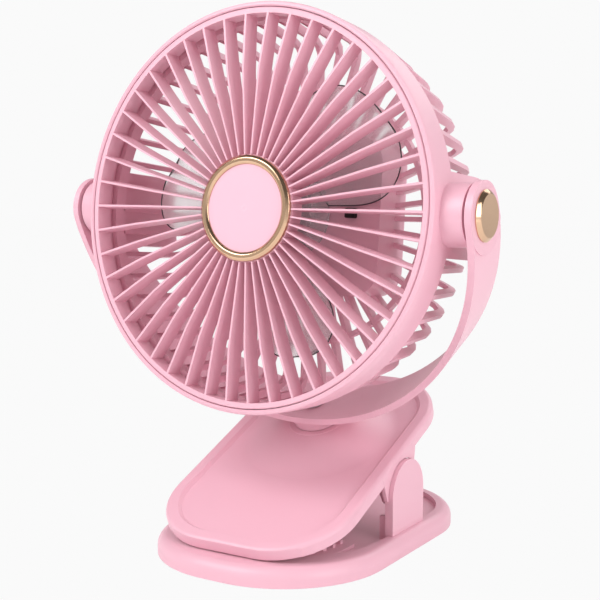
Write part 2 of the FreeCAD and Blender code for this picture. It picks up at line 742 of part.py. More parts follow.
def biarc(point_a, tangent_a, point_b, tangent_b):
    """Two arcs that join two points with the given tangents."""
    chord = point_b - point_a
    both = tangent_a + tangent_b
    scale = 2 * (1 - tangent_a.dot(tangent_b))
    dot = chord.dot(both)
    reach_d = (-dot + math.sqrt(dot * dot + scale * chord.dot(chord))) / scale
    middle = (point_a + point_b + (tangent_a - tangent_b) * reach_d) * 0.5
    edges = []
    for start, tangent, end in ((point_a, tangent_a, middle), (middle, None, point_b)):
        if tangent is None:
            tangent = (middle - point_a - tangent_a * reach_d).normalize()
        span = end - start
        normal = span - tangent * span.dot(tangent)
        half = span.dot(span) / (2 * normal.dot(normal)) 
        centre = start + normal * half
        out = (start + end) * 0.5 - centre
        out.normalize()
        edges.append(Part.Arc(start, centre + out * (start - centre).Length, end).toShape())
    return edges


wire_edges = []
first, first_tangent = on_coil(0)
lower_end = first - first_tangent * leg
wire_edges.append(Part.LineSegment(lower_end, first).toShape())
point_a, tangent_a = first, first_tangent
for step in range(1, parts_of_turn + 1):
    point_b, tangent_b = on_coil(step / parts_of_turn)
    wire_edges.extend(biarc(point_a, tangent_a, point_b, tangent_b))
    point_a, tangent_a = point_b, tangent_b
wire_edges.append(Part.LineSegment(point_a, point_a + tangent_a * leg).toShape())
path = Part.Wire(wire_edges)
ring = Part.Wire([Part.Circle(lower_end, first_tangent, wire_radius.value).toShape()])
pipe = Part.BRepOffsetAPI.MakePipeShell(path)
pipe.add(ring, False, False)
pipe.build()
pipe.makeSolid()
spring = doc.addObject("Part::Feature", "torsion_spring")
spring.Label = "torsion_spring"
spring.Shape = pipe.shape()
stand(spring, "base", spring_side, hinge_y, hinge_z)
print("spring: gap between turns %.2f mm" % (lead * 2 * math.pi / sweep - 2 * wire_radius.value))
print("spring: legs end", lower_end, point_a + tangent_a * leg)

# Yoke: a round band with rounded arm ends and a foot on the swivel.
yoke = new_body("yoke_band", "yoke")
yoke_inner = yoke_radius - yoke_thick
shape = new_sketch(yoke, "ring", "XZ_Plane", 0)
draw_circle(shape, yoke_radius)
draw_circle(shape, yoke_inner)
pad(yoke, shape, yoke_width, middle=True)
shape = new_sketch(yoke, "opening", "XZ_Plane", 0)
draw_outline(
    shape,
    [
        (-yoke_radius - 1, 0),
        (yoke_radius + 1, 0),
        (yoke_radius + 1, yoke_radius + 1),
        (-yoke_radius - 1, yoke_radius + 1),
    ],
)
pocket(yoke, shape, yoke_width + 2, middle=True)
shape = new_sketch(yoke, "arm_end", "YZ_Plane", yoke_inner)
draw_circle(shape, arm_end)
pad(yoke, shape, yoke_thick)
shape = new_sketch(yoke, "arm_end_left", "YZ_Plane", -yoke_radius)
draw_circle(shape, arm_end)
pad(yoke, shape, yoke_thick)
shape = new_sketch(yoke, "pivot_hole", "YZ_Plane", 0)
draw_circle(shape, pivot_radius + run_gap)
pocket(yoke, shape, 2 * (yoke_radius + 1), middle=True)
shape = new_sketch(yoke, "foot", "XZ_Plane", 0)
foot_low = -yoke_radius - foot_rise
draw_outline(
    shape,
    [(0, foot_low), (foot_end, foot_low), (foot_top, 1 - yoke_radius), (0, 1 - yoke_radius)],
)
revolve(yoke, shape)
shape = new_sketch(yoke, "spindle_hole", "XY_Plane", foot_low - 1)
draw_circle(shape, spindle_radius - 1 + seat_gap)
pocket(yoke, shape, foot_rise + yoke_thick + 3, reverse=True)

# Spindle: a shouldered screw through the pedestal with its nut on the band.
spindle = new_body("swivel_spindle", "yoke")
head_top = nut_seat - pivot_z - fit_gap / 3
shape = new_sketch(spindle, "section", "XZ_Plane", 0)
draw_outline(
    shape,
    [
        (0, head_top - 1.6),
        (spindle_head, head_top - 1.6),
        (spindle_head, head_top),
        (spindle_radius, head_top),
        (spindle_radius, foot_low - fit_gap / 6),
        (spindle_radius - 1, foot_low - fit_gap / 6),
        (spindle_radius - 1, -yoke_inner + 1.2),
        (0, -yoke_inner + 1.2),
    ],
)
revolve(spindle, shape)
spindle_nut = new_body("swivel_nut", "yoke")
shape = new_sketch(spindle_nut, "section", "XZ_Plane", 0)
draw_outline(
    shape,
    [
        (spindle_radius - 1 + seat_gap, 0.6 - yoke_inner),
        (spindle_radius + 2, 0.6 - yoke_inner),
        (spindle_radius + 2, 2.0 - yoke_inner),
        (spindle_radius - 1 + seat_gap, 2.0 - yoke_inner),
    ],
)
revolve(spindle_nut, shape)

# Pivot caps, screws and friction washers, right and left.
drum_bore = drum_radius - drum_wall
boss_end = yoke_inner - washer_thick - 4 * fit_gap / 3
for word, side in (("right", 1), ("left", -1)):
    cap = new_body("pivot_cap_" + word, "yoke")
    shape = new_sketch(cap, "section", "XY_Plane", 0)
    foot_x0 = yoke_radius + seat_gap
    draw_outline(
        shape,
        [
            (side * foot_x0, pivot_head + 0.6),
            (side * foot_x0, cap_radius),
            (side * (foot_x0 + 0.5), cap_radius),
            (side * (foot_x0 + cap_height - 0.4), cap_face + 0.7),
            (side * (foot_x0 + cap_height), cap_face),
            (side * (foot_x0 + cap_height), 0),
            (side * (foot_x0 + cap_height - cap_wall), 0),
            (side * (foot_x0 + cap_height - cap_wall), pivot_head + 0.6),
        ],
    )
    revolve(cap, shape, axis="H_Axis")
    screw = new_body("pivot_screw_" + word, "head")
    shape = new_sketch(screw, "section", "XY_Plane", 0)
    draw_outline(
        shape,
        [
            (side * (drum_radius - 1), 0),
            (side * (drum_radius - 1), pivot_radius - 0.8),
            (side * (boss_end + 0.02), pivot_radius - 0.8),
            (side * (boss_end + 0.02), pivot_radius),
            (side * (yoke_radius + 0.2), pivot_radius),
            (side * (yoke_radius + 0.2), pivot_head),
            (side * (yoke_radius + 1.1), pivot_head),
            (side * (yoke_radius + 1.1), 0),
        ],
    )
    revolve(screw, shape, axis="H_Axis")
washers = []
for side in (1, -1):
    start = (boss_end + fit_gap / 3) if side > 0 else -(boss_end + fit_gap / 3 + washer_thick)
    outer = cylinder("washer", pivot_head, washer_thick, "yoke", start, 0, 0, *RIGHTWARD)
    bore = cylinder("washer_bore", pivot_radius + run_gap, washer_thick, "yoke", start, 0, 0, *RIGHTWARD)
    washers.append(cut_away("washer_ring", outer, bore))
grouped("friction_washers", washers)

# Drum housing: bezel, drum, side cheeks and pivot bosses.
drum = new_body("drum_housing", "head")
shape = new_sketch(drum, "section", "XY_Plane", 0)
groove_radius = bezel_radius - drum_wall
ring_inner = groove_radius - fit_gap - grille_ring
ledge_inner = ring_inner + 0.4
draw_outline(
    shape,
    [
        (groove_radius, -drum_front + 0.5),
        (groove_radius + 0.5, -drum_front),
        (bezel_radius - 1.2, -drum_front),
        (bezel_radius - 0.3, 0.5 - drum_front),
        (bezel_radius, 1.5 - drum_front),
        (drum_radius, 0),
        (drum_bore, 0),
        (drum_bore, 2.4 - ledge_depth),
        (ledge_inner, 1.4 - ledge_depth),
        (ledge_inner, -ledge_depth),
        (groove_radius, -ledge_depth),
    ],
)
revolve(drum, shape)
shape = new_sketch(drum, "cheek", "XY_Plane", 0)
draw_outline(
    shape,
    [
        (drum_radius, -1),
        (drum_radius, cheek_back - 13),
        (drum_radius - 0.9, cheek_back - 7),
        (drum_radius - 2.6, cheek_back - 3),
        (cage_corner, cheek_back),
        (cage_corner, cheek_back - 2.4),
        (drum_radius - 4.4, cheek_back - 4.6),
        (drum_radius - 3.1, cheek_back - 8),
        (drum_bore, cheek_back - 13),
        (drum_bore, -1),
    ],
)
cheek = revolve(drum, shape, cheek_angle, middle=True)
mirror(drum, [cheek], "YZ_Plane")
shape = new_sketch(drum, "boss", "YZ_Plane", drum_bore + 0.6)
draw_circle(shape, boss_radius)
boss = pad(drum, shape, boss_end - drum_bore - 0.6)
mirror(drum, [boss], "YZ_Plane")
shape = new_sketch(drum, "boss_hole", "YZ_Plane", drum_radius - 1)
draw_circle(shape, pivot_radius - 0.8 + seat_gap)
pocket(drum, shape, boss_end - drum_radius + 2, reverse=True)
shape = new_sketch(drum, "boss_hole_left", "YZ_Plane", 1 - drum_radius)
draw_circle(shape, pivot_radius - 0.8 + seat_gap)
pocket(drum, shape, boss_end - drum_radius + 2)

# Front grille: hub, tapered bowed ribs and ring in one moulding.
grille = new_body("front_grille", "head")
grille_front = 0.3 - drum_front
hub_front = grille_front - grille_crown * 0.1
ring_outer = groove_radius - fit_gap
shape = new_sketch(grille, "hub", "XY_Plane", 0)
draw_outline(
    shape,
    [
        (0, hub_front),
        (hub_radius, hub_front),
        (hub_radius, hub_front + grille_depth - 1),
        (hub_radius - 2, hub_front + grille_depth - 1),
        (hub_radius - 2, hub_front + 2),
        (0, hub_front + 2),
    ],
)
revolve(grille, shape)
shape = new_sketch(grille, "rib", "XZ_Plane", 4)
draw_outline(
    shape,
    [
        (hub_radius - 1, -grille_rib_in / 2),
        (ring_inner + 0.6, -grille_rib_out / 2),
        (ring_inner + 0.6, grille_rib_out / 2),
        (hub_radius - 1, grille_rib_in / 2),
    ],
)
rib = pad(grille, shape, drum_front + grille_crown - 1)
polar(grille, [rib], shape, grille_ribs)
crown_at = (hub_radius + ring_inner) * 0.56
shape = new_sketch(grille, "front_trim", "XY_Plane", 0)
draw_outline(
    shape,
    [
        (hub_radius - 3, -drum_front - grille_crown - 6),
        (ring_inner + 2, -drum_front - grille_crown - 6),
        (ring_inner + 2, grille_front),
        (ring_inner, grille_front),
        (crown_at, grille_front - grille_crown),
        (hub_radius, hub_front - 1.0),
        (hub_radius, hub_front),
        (hub_radius - 3, hub_front),
    ],
)
groove(grille, shape)
shape = new_sketch(grille, "back_trim", "XY_Plane", 0)
draw_outline(
    shape,
    [
        (hub_radius - 4, 2),
        (ring_inner + 2, 2),
        (ring_inner + 2, -ledge_depth - seat_gap),
        (ring_inner, -ledge_depth - seat_gap),
        (crown_at, grille_front + grille_depth - grille_crown),
        (hub_radius, hub_front + grille_depth - 1),
        (hub_radius - 4, hub_front + grille_depth - 1),
    ],
)
groove(grille, shape)
shape = new_sketch(grille, "ring", "XY_Plane", 0)
draw_outline(
    shape,
    [
        (ring_inner, grille_front),
        (ring_outer - 0.4, grille_front),
        (ring_outer, grille_front + 0.4),
        (ring_outer, -ledge_depth - seat_gap),
        (ring_inner, -ledge_depth - seat_gap),
    ],
)
revolve(grille, shape)

# Gold ring and plain disc on the grille's hub.
trim = new_body("hub_trim_ring", "head")
trim_foot = hub_front - seat_gap
shape = new_sketch(trim, "section", "XY_Plane", 0)
draw_outline(
    shape,
    [
        (trim_inner, trim_foot),
        (trim_outer, trim_foot),
        (trim_outer, trim_foot - trim_height * 0.6),
        (trim_outer - 1.2, trim_foot - trim_height),
        (trim_inner + 1.0, trim_foot - trim_height),
        (trim_inner, trim_foot - trim_height * 0.7),
    ],
)
revolve(trim, shape)
disc = new_body("hub_disc", "head")
shape = new_sketch(disc, "section", "XY_Plane", 0)
draw_outline(
    shape,
    [
        (0, trim_foot),
        (trim_inner - seat_gap, trim_foot),
        (trim_inner - seat_gap, trim_foot - trim_height * 0.55),
        (trim_inner * 0.6, trim_foot - trim_height * 0.66),
        (0, trim_foot - trim_height * 0.7),
    ],
)
revolve(disc, shape)

# Back cage: hooked ribs, seat ring in the drum, middle ring and battery pod.
cage = new_body("rear_cage", "head")
shape = new_sketch(cage, "pod", "XZ_Plane", -pod_back)
draw_rounded(shape, pod_width, -pod_tall / 2, pod_tall / 2, pod_corner)
pad(cage, shape, pod_back - pod_front)

shape = new_sketch(cage, "rib", "XY_Plane", 0)
rib_foot = fit_gap / 3
draw_outline(
    shape,
    [
        (drum_radius, rib_foot),
        (cage_corner + 1.4, cage_back - 11),
        (cage_corner, cage_back - 6.5),
        (cage_corner - 2.6, cage_back - 2.6),
        (cage_corner - 7, cage_back - 0.8),
        (36, cage_back + 1.6),
        (36, cage_back + 1.6 - cage_depth),
        (cage_corner - 8, cage_back - 0.8 - cage_depth),
        (cage_corner - 5.6, cage_back - 8),
        (cage_corner + 1.4 - cage_depth, cage_back - 12),
        (drum_radius - cage_depth, rib_foot),
    ],
)
rib = pad(cage, shape, cage_rib, middle=True)
pattern = polar(cage, [rib], shape, cage_ribs, axis="V_Axis")
shape = new_sketch(cage, "seat_ring", "XY_Plane", 0)
seat_out = drum_bore - fit_gap / 3
draw_outline(
    shape,
    [
        (seat_out - 2.4, -5),
        (seat_out, -5),
        (seat_out, rib_foot + 1.2),
        (seat_out - 2.4, rib_foot + 1.2),
    ],
)
revolve(cage, shape)
shape = new_sketch(cage, "middle_ring", "XY_Plane", 0)
draw_outline(
    shape,
    [
        (cage_ring - cage_ring_wide, cage_back - 4.6),
        (cage_ring, cage_back - 4.6),
        (cage_ring, cage_back - 0.6),
        (cage_ring - cage_ring_wide, cage_back - 0.6),
    ],
)
revolve(cage, shape)
shape = new_sketch(cage, "cheek_room", "XY_Plane", 0)
draw_outline(
    shape,
    [
        (cage_corner - fit_gap / 3, cheek_back + 3),
        (drum_radius + 3, cheek_back + 3),
        (drum_radius + 3, rib_foot - 0.05),
        (seat_out, rib_foot - 0.05),
        (seat_out, rib_foot + 1.2),
        (seat_out - 2.4, rib_foot + 1.2),
        (drum_radius - 9, cheek_back - 12),
        (drum_radius - 9, cheek_back - 8.8),
        (cage_corner - 5, cage_back - 6.8),
        (cage_corner - fit_gap / 3, cage_back - 6.5),
    ],
)
room = groove(cage, shape, cheek_angle + 1.6, middle=True)
mirror(cage, [room], "YZ_Plane")
shape = new_sketch(cage, "pod_inside", "XZ_Plane", -pod_back)
draw_rounded(
    shape, pod_width - 2 * pod_wall, pod_wall - pod_tall / 2, pod_tall / 2 - pod_wall, pod_corner - pod_wall
)
cavity = pocket(cage, shape, pod_back - pod_front - pod_wall, reverse=True)
for spot_x, spot_z, radius, name in ((0, 0, 3.2, "shaft_hole"), (0, 16, 2.0, "wire_hole")):
    shape = new_sketch(cage, name, "XZ_Plane", -pod_front - pod_wall - 1)
    draw_circle(shape, radius, spot_x, spot_z)
    pocket(cage, shape, pod_wall + 2, reverse=True)
shape = new_sketch(cage, "motor_holes", "XZ_Plane", -pod_front - pod_wall - 1)
for side in (-1, 1):
    draw_circle(shape, 1.3, side * 8, 0)
pocket(cage, shape, pod_wall + 2, reverse=True)

# Pod cover with its charging slot, button hole and lamp hole.
lid = new_body("pod_cover", "head")
shape = new_sketch(lid, "plan", "XZ_Plane", -(pod_back + seat_gap + pod_cover))
draw_rounded(shape, pod_width, -pod_tall / 2, pod_tall / 2, pod_corner)
pad(lid, shape, pod_cover)
cover_back = (pod_back + seat_gap + pod_cover).value
round_edges(
    lid, pod_cover * 0.6,
    lambda edge: abs(edge.BoundBox.YMin - cover_back) < 0.02 and abs(edge.BoundBox.YMax - cover_back) < 0.02,
)
board_x = (pod_width / 2 - pod_wall) - board_wide / 2 - seat_gap
cut_level = -(pod_back + seat_gap + pod_cover) - 1
shape = new_sketch(lid, "holes", "XZ_Plane", cut_level)
draw_circle(shape, button_radius + fit_gap, board_x, button_up)
draw_circle(shape, 1.3, board_x, button_up - 10)
draw_outline(
    shape,
    [
        (board_x - 1.9, -button_up - 4.9),
        (board_x + 1.9, -button_up - 4.9),
        (board_x + 1.9, 4.9 - button_up),
        (board_x - 1.9, 4.9 - button_up),
    ],
)
pocket(lid, shape, pod_cover + 2, reverse=True)
cover_screw_x = pod_width / 2 - pod_wall - 4
cover_screw_z = pod_tall / 2 - pod_wall - 1.6
shape = new_sketch(lid, "screw_holes", "XZ_Plane", cut_level)
for spot in (-1, 1):
    draw_circle(shape, 1.5, 0, spot * cover_screw_z)
pocket(lid, shape, pod_cover + 2, reverse=True)
cover_screws = []
for spot in (-1, 1):
    shank = cylinder("cover_shank", 1.45, pod_cover + 0.1, "head", 0, pod_back + seat_gap,
                     spot * cover_screw_z, *BACKWARD)
    top = cylinder("cover_head", 2.6, 0.9, "head", 0, pod_back + seat_gap + pod_cover + 0.02,
                   spot * cover_screw_z, *BACKWARD)
    cover_screws.append(fused("cover_screw", [shank, top]))
grouped("cover_screws", cover_screws)

# Motor, its screws and bearing, in front of the pod.
motor = new_body("motor_can", "head")
motor_back = pod_front - seat_gap
shape = new_sketch(motor, "section", "XY_Plane", 0)
draw_outline(
    shape,
    [
        (shaft_radius + run_gap, motor_front - 1.2),
        (3, motor_front - 1.2),
        (3, motor_front),
        (motor_radius - 1, motor_front),
        (motor_radius, motor_front + 1),
        (motor_radius, motor_back),
        (3, motor_back),
        (3, motor_back + 1.6),
        (shaft_radius + run_gap, motor_back + 1.6),
    ],
)
revolve(motor, shape)
shape = new_sketch(motor, "screw_seat", "XZ_Plane", -motor_back - 1)
for side in (-1, 1):
    draw_circle(shape, 1.15, side * 8, 0)
pocket(motor, shape, 5, reverse=True)
motor_screws = []
for side in (-1, 1):
    shank = cylinder("motor_shank", 1.1, pod_wall + 3, "head", side * 8, pod_front - 3 + seat_gap, 0, *BACKWARD)
    top = cylinder("motor_head", 2.0, 0.8, "head", side * 8, pod_front + pod_wall + 0.03, 0, *BACKWARD)
    motor_screws.append(fused("motor_screw", [shank, top]))
grouped("motor_screws", motor_screws)
cylinder("motor_shaft", shaft_radius, motor_back - cup_front - 0.4, "head", 0, cup_front + 1.2, 0,
         *BACKWARD).Label = "motor_shaft"

# Impeller: three broad rounded twisted blades on a hub cup.
cup = new_body("hub_cup", "head")
cup_back = motor_back - 2.2
shape = new_sketch(cup, "section", "XY_Plane", 0)
draw_outline(
    shape,
    [
        (0, cup_front),
        (cup_radius - 4, cup_front + 0.3),
        (cup_radius - 1, cup_front + 1.6),
        (cup_radius, cup_front + 4),
        (cup_radius, cup_back),
        (cup_radius - cup_wall, cup_back),
        (cup_radius - cup_wall, cup_front + 3),
        (shaft_radius + 1.8, cup_front + 1.6),
        (shaft_radius + 1.8, cup_front + 3.0),
        (shaft_radius, cup_front + 3.0),
        (shaft_radius, cup_front + 1.2),
        (0, cup_front + 1.2),
    ],
)
revolve(cup, shape)
stations = (
    (cup_radius.value - 1.0, 11.0, 33.0, 0.0),
    (blade_tip.value * 0.45, 19.5, 27.0, 1.0),
    (blade_tip.value * 0.62, 25.0, 22.0, 2.5),
    (blade_tip.value * 0.80, 24.0, 17.5, 3.5),
    (blade_tip.value * 0.93, 17.5, 15.0, 3.5),
    (blade_tip.value * 0.995, 8.0, 14.0, 3.0),
)
sections = []
for radius, half, pitch, shift in stations:
    lean = math.radians(pitch)
    along = Vector(0, -math.sin(lean), math.cos(lean))
    across = Vector(0, math.cos(lean), math.sin(lean))
    centre = Vector(radius, blade_mid.value, shift)
    ends = (centre - along * half, centre + along * half)
    bow = half * 0.10 + 0.5
    skin = blade_thick.value / 2
    face = Part.Arc(ends[0], centre + across * (bow + skin), ends[1]).toShape()
    back = Part.Arc(ends[1], centre + across * (bow - skin), ends[0]).toShape()
    sections.append(Part.Wire([face, back]))
blade = Part.makeLoft(sections, True, False)
count = int(round(blade_count.value))
blades = [
    blade.rotated(Vector(0, 0, 0), Vector(0, 1, 0), 360.0 * turned / count - 38) for turned in range(count)
]
rotor = doc.addObject("Part::Feature", "impeller_blades")
cup_wheel = cup.Shape.copy()
cup_wheel.Placement = Placement()
impeller_shape = cup_wheel.fuse(blades)
bore = Part.makeCylinder(
    cup_radius.value - cup_wall.value - 0.01, 40, Vector(0, cup_front.value + 3, 0), Vector(0, 1, 0)
)
rotor.Label = "impeller"
keep = Part.makeCylinder(shaft_radius.value + 1.8, 1.4, Vector(0, cup_front.value + 1.6, 0), Vector(0, 1, 0))
trimmed = impeller_shape.cut(bore).removeSplitter()
rotor.Shape = trimmed
stand(rotor, "head")
cup.Label = "hub_cup_blank"

# Cells, board, charging socket, switch and lamp inside the pod; power button.
cells = []
cell_left = -(pod_width / 2 - pod_wall - cell_inset)
cell_mid = pod_back - cell_radius
for level in (-1, 0, 1):
    body_part = cylinder("cell", cell_radius, cell_length, "head", cell_left, cell_mid,
                         level * (2 * cell_radius + 0.2), *RIGHTWARD)
    tip_part = cylinder("cell_tip", 2.6, 1.2, "head", cell_left + cell_length - 0.2, cell_mid,
                        level * (2 * cell_radius + 0.2), *RIGHTWARD)
    cells.append(fused("cell_can", [body_part, tip_part]))
grouped("battery_cells", cells)


def block(label, wide, deep, tall, x, y, z):
    """A small cuboid in the head frame, centred across and up, from y backwards."""
    body = new_body(label, "head")
    shape = new_sketch(body, "plan", "XZ_Plane", -(as_dim(y) + deep))
    half = as_dim(wide) / 2
    low = as_dim(z) - as_dim(tall) / 2
    high = as_dim(z) + as_dim(tall) / 2
    draw_outline(shape, [(x - half, low), (x + half, low), (x + half, high), (x - half, high)])
    pad(body, shape, deep)
    return body


board_face = pod_back - board_back
block("circuit_board", board_wide, board_thick, board_tall, board_x, board_face - board_thick, 0)
block("usb_socket", 3.2, board_back - 0.4, 9.0, board_x, board_face + seat_gap, -button_up)
block("tact_switch", 6.0, 3.4, 6.0, board_x, board_face + seat_gap, button_up)
cylinder("lamp", 1.2, board_back + pod_cover - 0.3, "head", board_x, board_face + seat_gap,
         button_up - 10, *BACKWARD).Label = "lamp"
doc.getObject("lamp").Label = "charge_lamp"
button = new_body("power_button", "head")
button_foot = board_face + seat_gap + 3.4 + button_travel + 0.15
shape = new_sketch(button, "stem", "XZ_Plane", -(pod_back - 0.2))
draw_circle(shape, button_radius + 0.9, board_x, button_up)
pad(button, shape, pod_back - 0.2 - button_foot)
shape = new_sketch(button, "crown", "XZ_Plane", -(pod_back + seat_gap + pod_cover + button_proud))
draw_circle(shape, button_radius, board_x, button_up)
pad(button, shape, pod_cover + button_proud + 1)

# Every sub-part is checked before anything is written.
NODES = [
    "base_tray", "base_cover", "rubber_feet", "base_screws", "base_jaw_pad", "hinge_pin", "torsion_spring",
    "lever_plate", "lever_jaw_pad", "yoke_band", "swivel_spindle", "swivel_nut", "pivot_cap_right",
    "pivot_cap_left", "friction_washers", "pivot_screw_right", "pivot_screw_left", "drum_housing",
    "front_grille", "hub_trim_ring", "hub_disc", "rear_cage", "pod_cover", "cover_screws", "motor_can",
    "motor_screws", "motor_shaft", "impeller", "battery_cells", "circuit_board", "usb_socket",
    "tact_switch", "charge_lamp", "power_button",
]
doc.recompute()
for item in doc.Objects:
    if "Invalid" in item.State or "Error" in item.State:
        raise ValueError("%s failed: %s" % (item.Label, item.State))
os.makedirs("parts", exist_ok=True)
by_label = {item.Label: item for item in doc.Objects}
for node in NODES:
    shape = by_label[node].Shape
    if shape.isNull() or not shape.isValid():
        raise ValueError(node + " has no valid shape")
for node in NODES:
    shape = by_label[node].Shape
    shape.exportStep("parts/%s.step" % node)
    print("%-18s solids %d volume %.1f" % (node, len(shape.Solids), shape.Volume))
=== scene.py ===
import bmesh
import bpy
import json
import math
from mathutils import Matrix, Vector


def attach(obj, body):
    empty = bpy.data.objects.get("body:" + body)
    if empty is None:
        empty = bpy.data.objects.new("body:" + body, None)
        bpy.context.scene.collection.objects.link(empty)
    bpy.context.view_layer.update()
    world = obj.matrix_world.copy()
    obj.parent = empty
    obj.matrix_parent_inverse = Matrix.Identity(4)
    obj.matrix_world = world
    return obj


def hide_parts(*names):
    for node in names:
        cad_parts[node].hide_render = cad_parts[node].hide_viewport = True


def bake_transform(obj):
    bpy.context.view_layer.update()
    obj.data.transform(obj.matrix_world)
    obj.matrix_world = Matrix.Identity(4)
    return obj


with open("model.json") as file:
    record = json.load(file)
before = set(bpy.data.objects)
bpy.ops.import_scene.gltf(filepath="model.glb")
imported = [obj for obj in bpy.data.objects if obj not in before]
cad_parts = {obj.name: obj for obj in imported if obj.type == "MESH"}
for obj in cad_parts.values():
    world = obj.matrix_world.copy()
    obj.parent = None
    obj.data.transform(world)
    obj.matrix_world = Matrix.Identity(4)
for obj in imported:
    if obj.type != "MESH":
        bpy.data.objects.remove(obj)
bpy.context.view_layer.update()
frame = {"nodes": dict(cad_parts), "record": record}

scene = bpy.context.scene
scene.view_settings.view_transform = "Standard"

# Camera. It stands half a metre off, to the right of the fan's face and about
# level with its hub, with the lens that gives the photograph's perspective.
camera_data = bpy.data.cameras.new("camera")
camera_data.sensor_width = 36.0
camera_data.lens = 70.84
camera = bpy.data.objects.new("camera", camera_data)
scene.collection.objects.link(camera)
camera.location = (0.27309, -0.44914, 0.16431)
LOOK_AT = Vector((0.01391, -0.03121, 0.1109))
camera.rotation_euler = (LOOK_AT - camera.location).to_track_quat("-Z", "Y").to_euler()
scene.camera = camera

# Pink shell plastic. The tray, plate, yoke, drum and grilles are moulded in one
# pale pink ABS with a soft satin skin, a faint cloudiness and a fine grain.


def shader_node(tree, kind, **settings):
    node = tree.nodes.new(kind)
    for name, value in settings.items():
        setattr(node, name, value)
    return node


def moulded_skin_group():
    """Cloudy colour, roughness and fine grain of a moulded plastic skin."""
    group = bpy.data.node_groups.new("moulded_skin", "ShaderNodeTree")
    face = group.interface
    for name, kind, default in (
        ("Base", "NodeSocketColor", (0.9, 0.6, 0.7, 1)),
        ("Shade", "NodeSocketColor", (0.8, 0.5, 0.6, 1)),
        ("Cloud Scale", "NodeSocketFloat", 30.0),
        ("Grain Scale", "NodeSocketFloat", 1800.0),
        ("Grain Height", "NodeSocketFloat", 0.05),
        ("Rough Low", "NodeSocketFloat", 0.3),
        ("Rough High", "NodeSocketFloat", 0.4),
    ):
        socket = face.new_socket(name, in_out="INPUT", socket_type=kind)
        socket.default_value = default
    face.new_socket("Color", in_out="OUTPUT", socket_type="NodeSocketColor")
    face.new_socket("Roughness", in_out="OUTPUT", socket_type="NodeSocketFloat")
    face.new_socket("Normal", in_out="OUTPUT", socket_type="NodeSocketVector")
    inputs = group.nodes.new("NodeGroupInput")
    outputs = group.nodes.new("NodeGroupOutput")
    place = group.nodes.new("ShaderNodeTexCoord")
    cloud = group.nodes.new("ShaderNodeTexNoise")
    cloud.inputs["Detail"].default_value = 3.0
    grain = group.nodes.new("ShaderNodeTexNoise")
    grain.inputs["Detail"].default_value = 2.0
    mix = shader_node(group, "ShaderNodeMix", data_type="RGBA")
    rough = group.nodes.new("ShaderNodeMapRange")
    bump = group.nodes.new("ShaderNodeBump")
    bump.inputs["Distance"].default_value = 0.0002
    wire = group.links.new
    wire(place.outputs["Object"], cloud.inputs["Vector"])
    wire(place.outputs["Object"], grain.inputs["Vector"])
    wire(inputs.outputs["Cloud Scale"], cloud.inputs["Scale"])
    wire(inputs.outputs["Grain Scale"], grain.inputs["Scale"])
    wire(cloud.outputs["Fac"], mix.inputs["Factor"])
    wire(inputs.outputs["Base"], mix.inputs["A"])
    wire(inputs.outputs["Shade"], mix.inputs["B"])
    wire(cloud.outputs["Fac"], rough.inputs["Value"])
    wire(inputs.outputs["Rough Low"], rough.inputs["To Min"])
    wire(inputs.outputs["Rough High"], rough.inputs["To Max"])
    wire(grain.outputs["Fac"], bump.inputs["Height"])
    wire(inputs.outputs["Grain Height"], bump.inputs["Strength"])
    wire(mix.outputs["Result"], outputs.inputs["Color"])
    wire(rough.outputs["Result"], outputs.inputs["Roughness"])
    wire(bump.outputs["Normal"], outputs.inputs["Normal"])
    return group


moulded_skin = moulded_skin_group()


def skin_material(name, base, shade, low, high, grain=0.05, cloud_scale=30.0, grain_scale=1800.0, **fixed):
    """A material with the moulded skin in it, and fixed shader values."""
    material = bpy.data.materials.new(name)
    material.use_nodes = True
    tree = material.node_tree
    shader = tree.nodes["Principled BSDF"]
    skin = tree.nodes.new("ShaderNodeGroup")
    skin.node_tree = moulded_skin
    skin.inputs["Base"].default_value = (*base, 1)
    skin.inputs["Shade"].default_value = (*shade, 1)
    skin.inputs["Cloud Scale"].default_value = cloud_scale
    skin.inputs["Grain Scale"].default_value = grain_scale
    skin.inputs["Grain Height"].default_value = grain
    skin.inputs["Rough Low"].default_value = low
    skin.inputs["Rough High"].default_value = high
    tree.links.new(skin.outputs["Color"], shader.inputs["Base Color"])
    tree.links.new(skin.outputs["Roughness"], shader.inputs["Roughness"])
    tree.links.new(skin.outputs["Normal"], shader.inputs["Normal"])
    for socket, value in fixed.items():
        shader.inputs[socket.replace("_", " ")].default_value = value
    return material


pink_shell = skin_material(
    "pink_shell", (0.82, 0.47, 0.56), (0.80, 0.45, 0.54), 0.34, 0.46, Coat_Weight=0.10, Coat_Roughness=0.25
)


MERGE, MERGE_AGAIN = 0.000002, 0.000004


def weld(shape, distance):
    """Merges points that coincide and drops the faces and edges they leave."""
    bmesh.ops.remove_doubles(shape, verts=shape.verts, dist=distance)
    bmesh.ops.dissolve_degenerate(shape, dist=distance, edges=shape.edges)


def linked(name, data):
    """A new object of the scene."""
    piece = bpy.data.objects.new(name, data)
    scene.collection.objects.link(piece)
    return piece


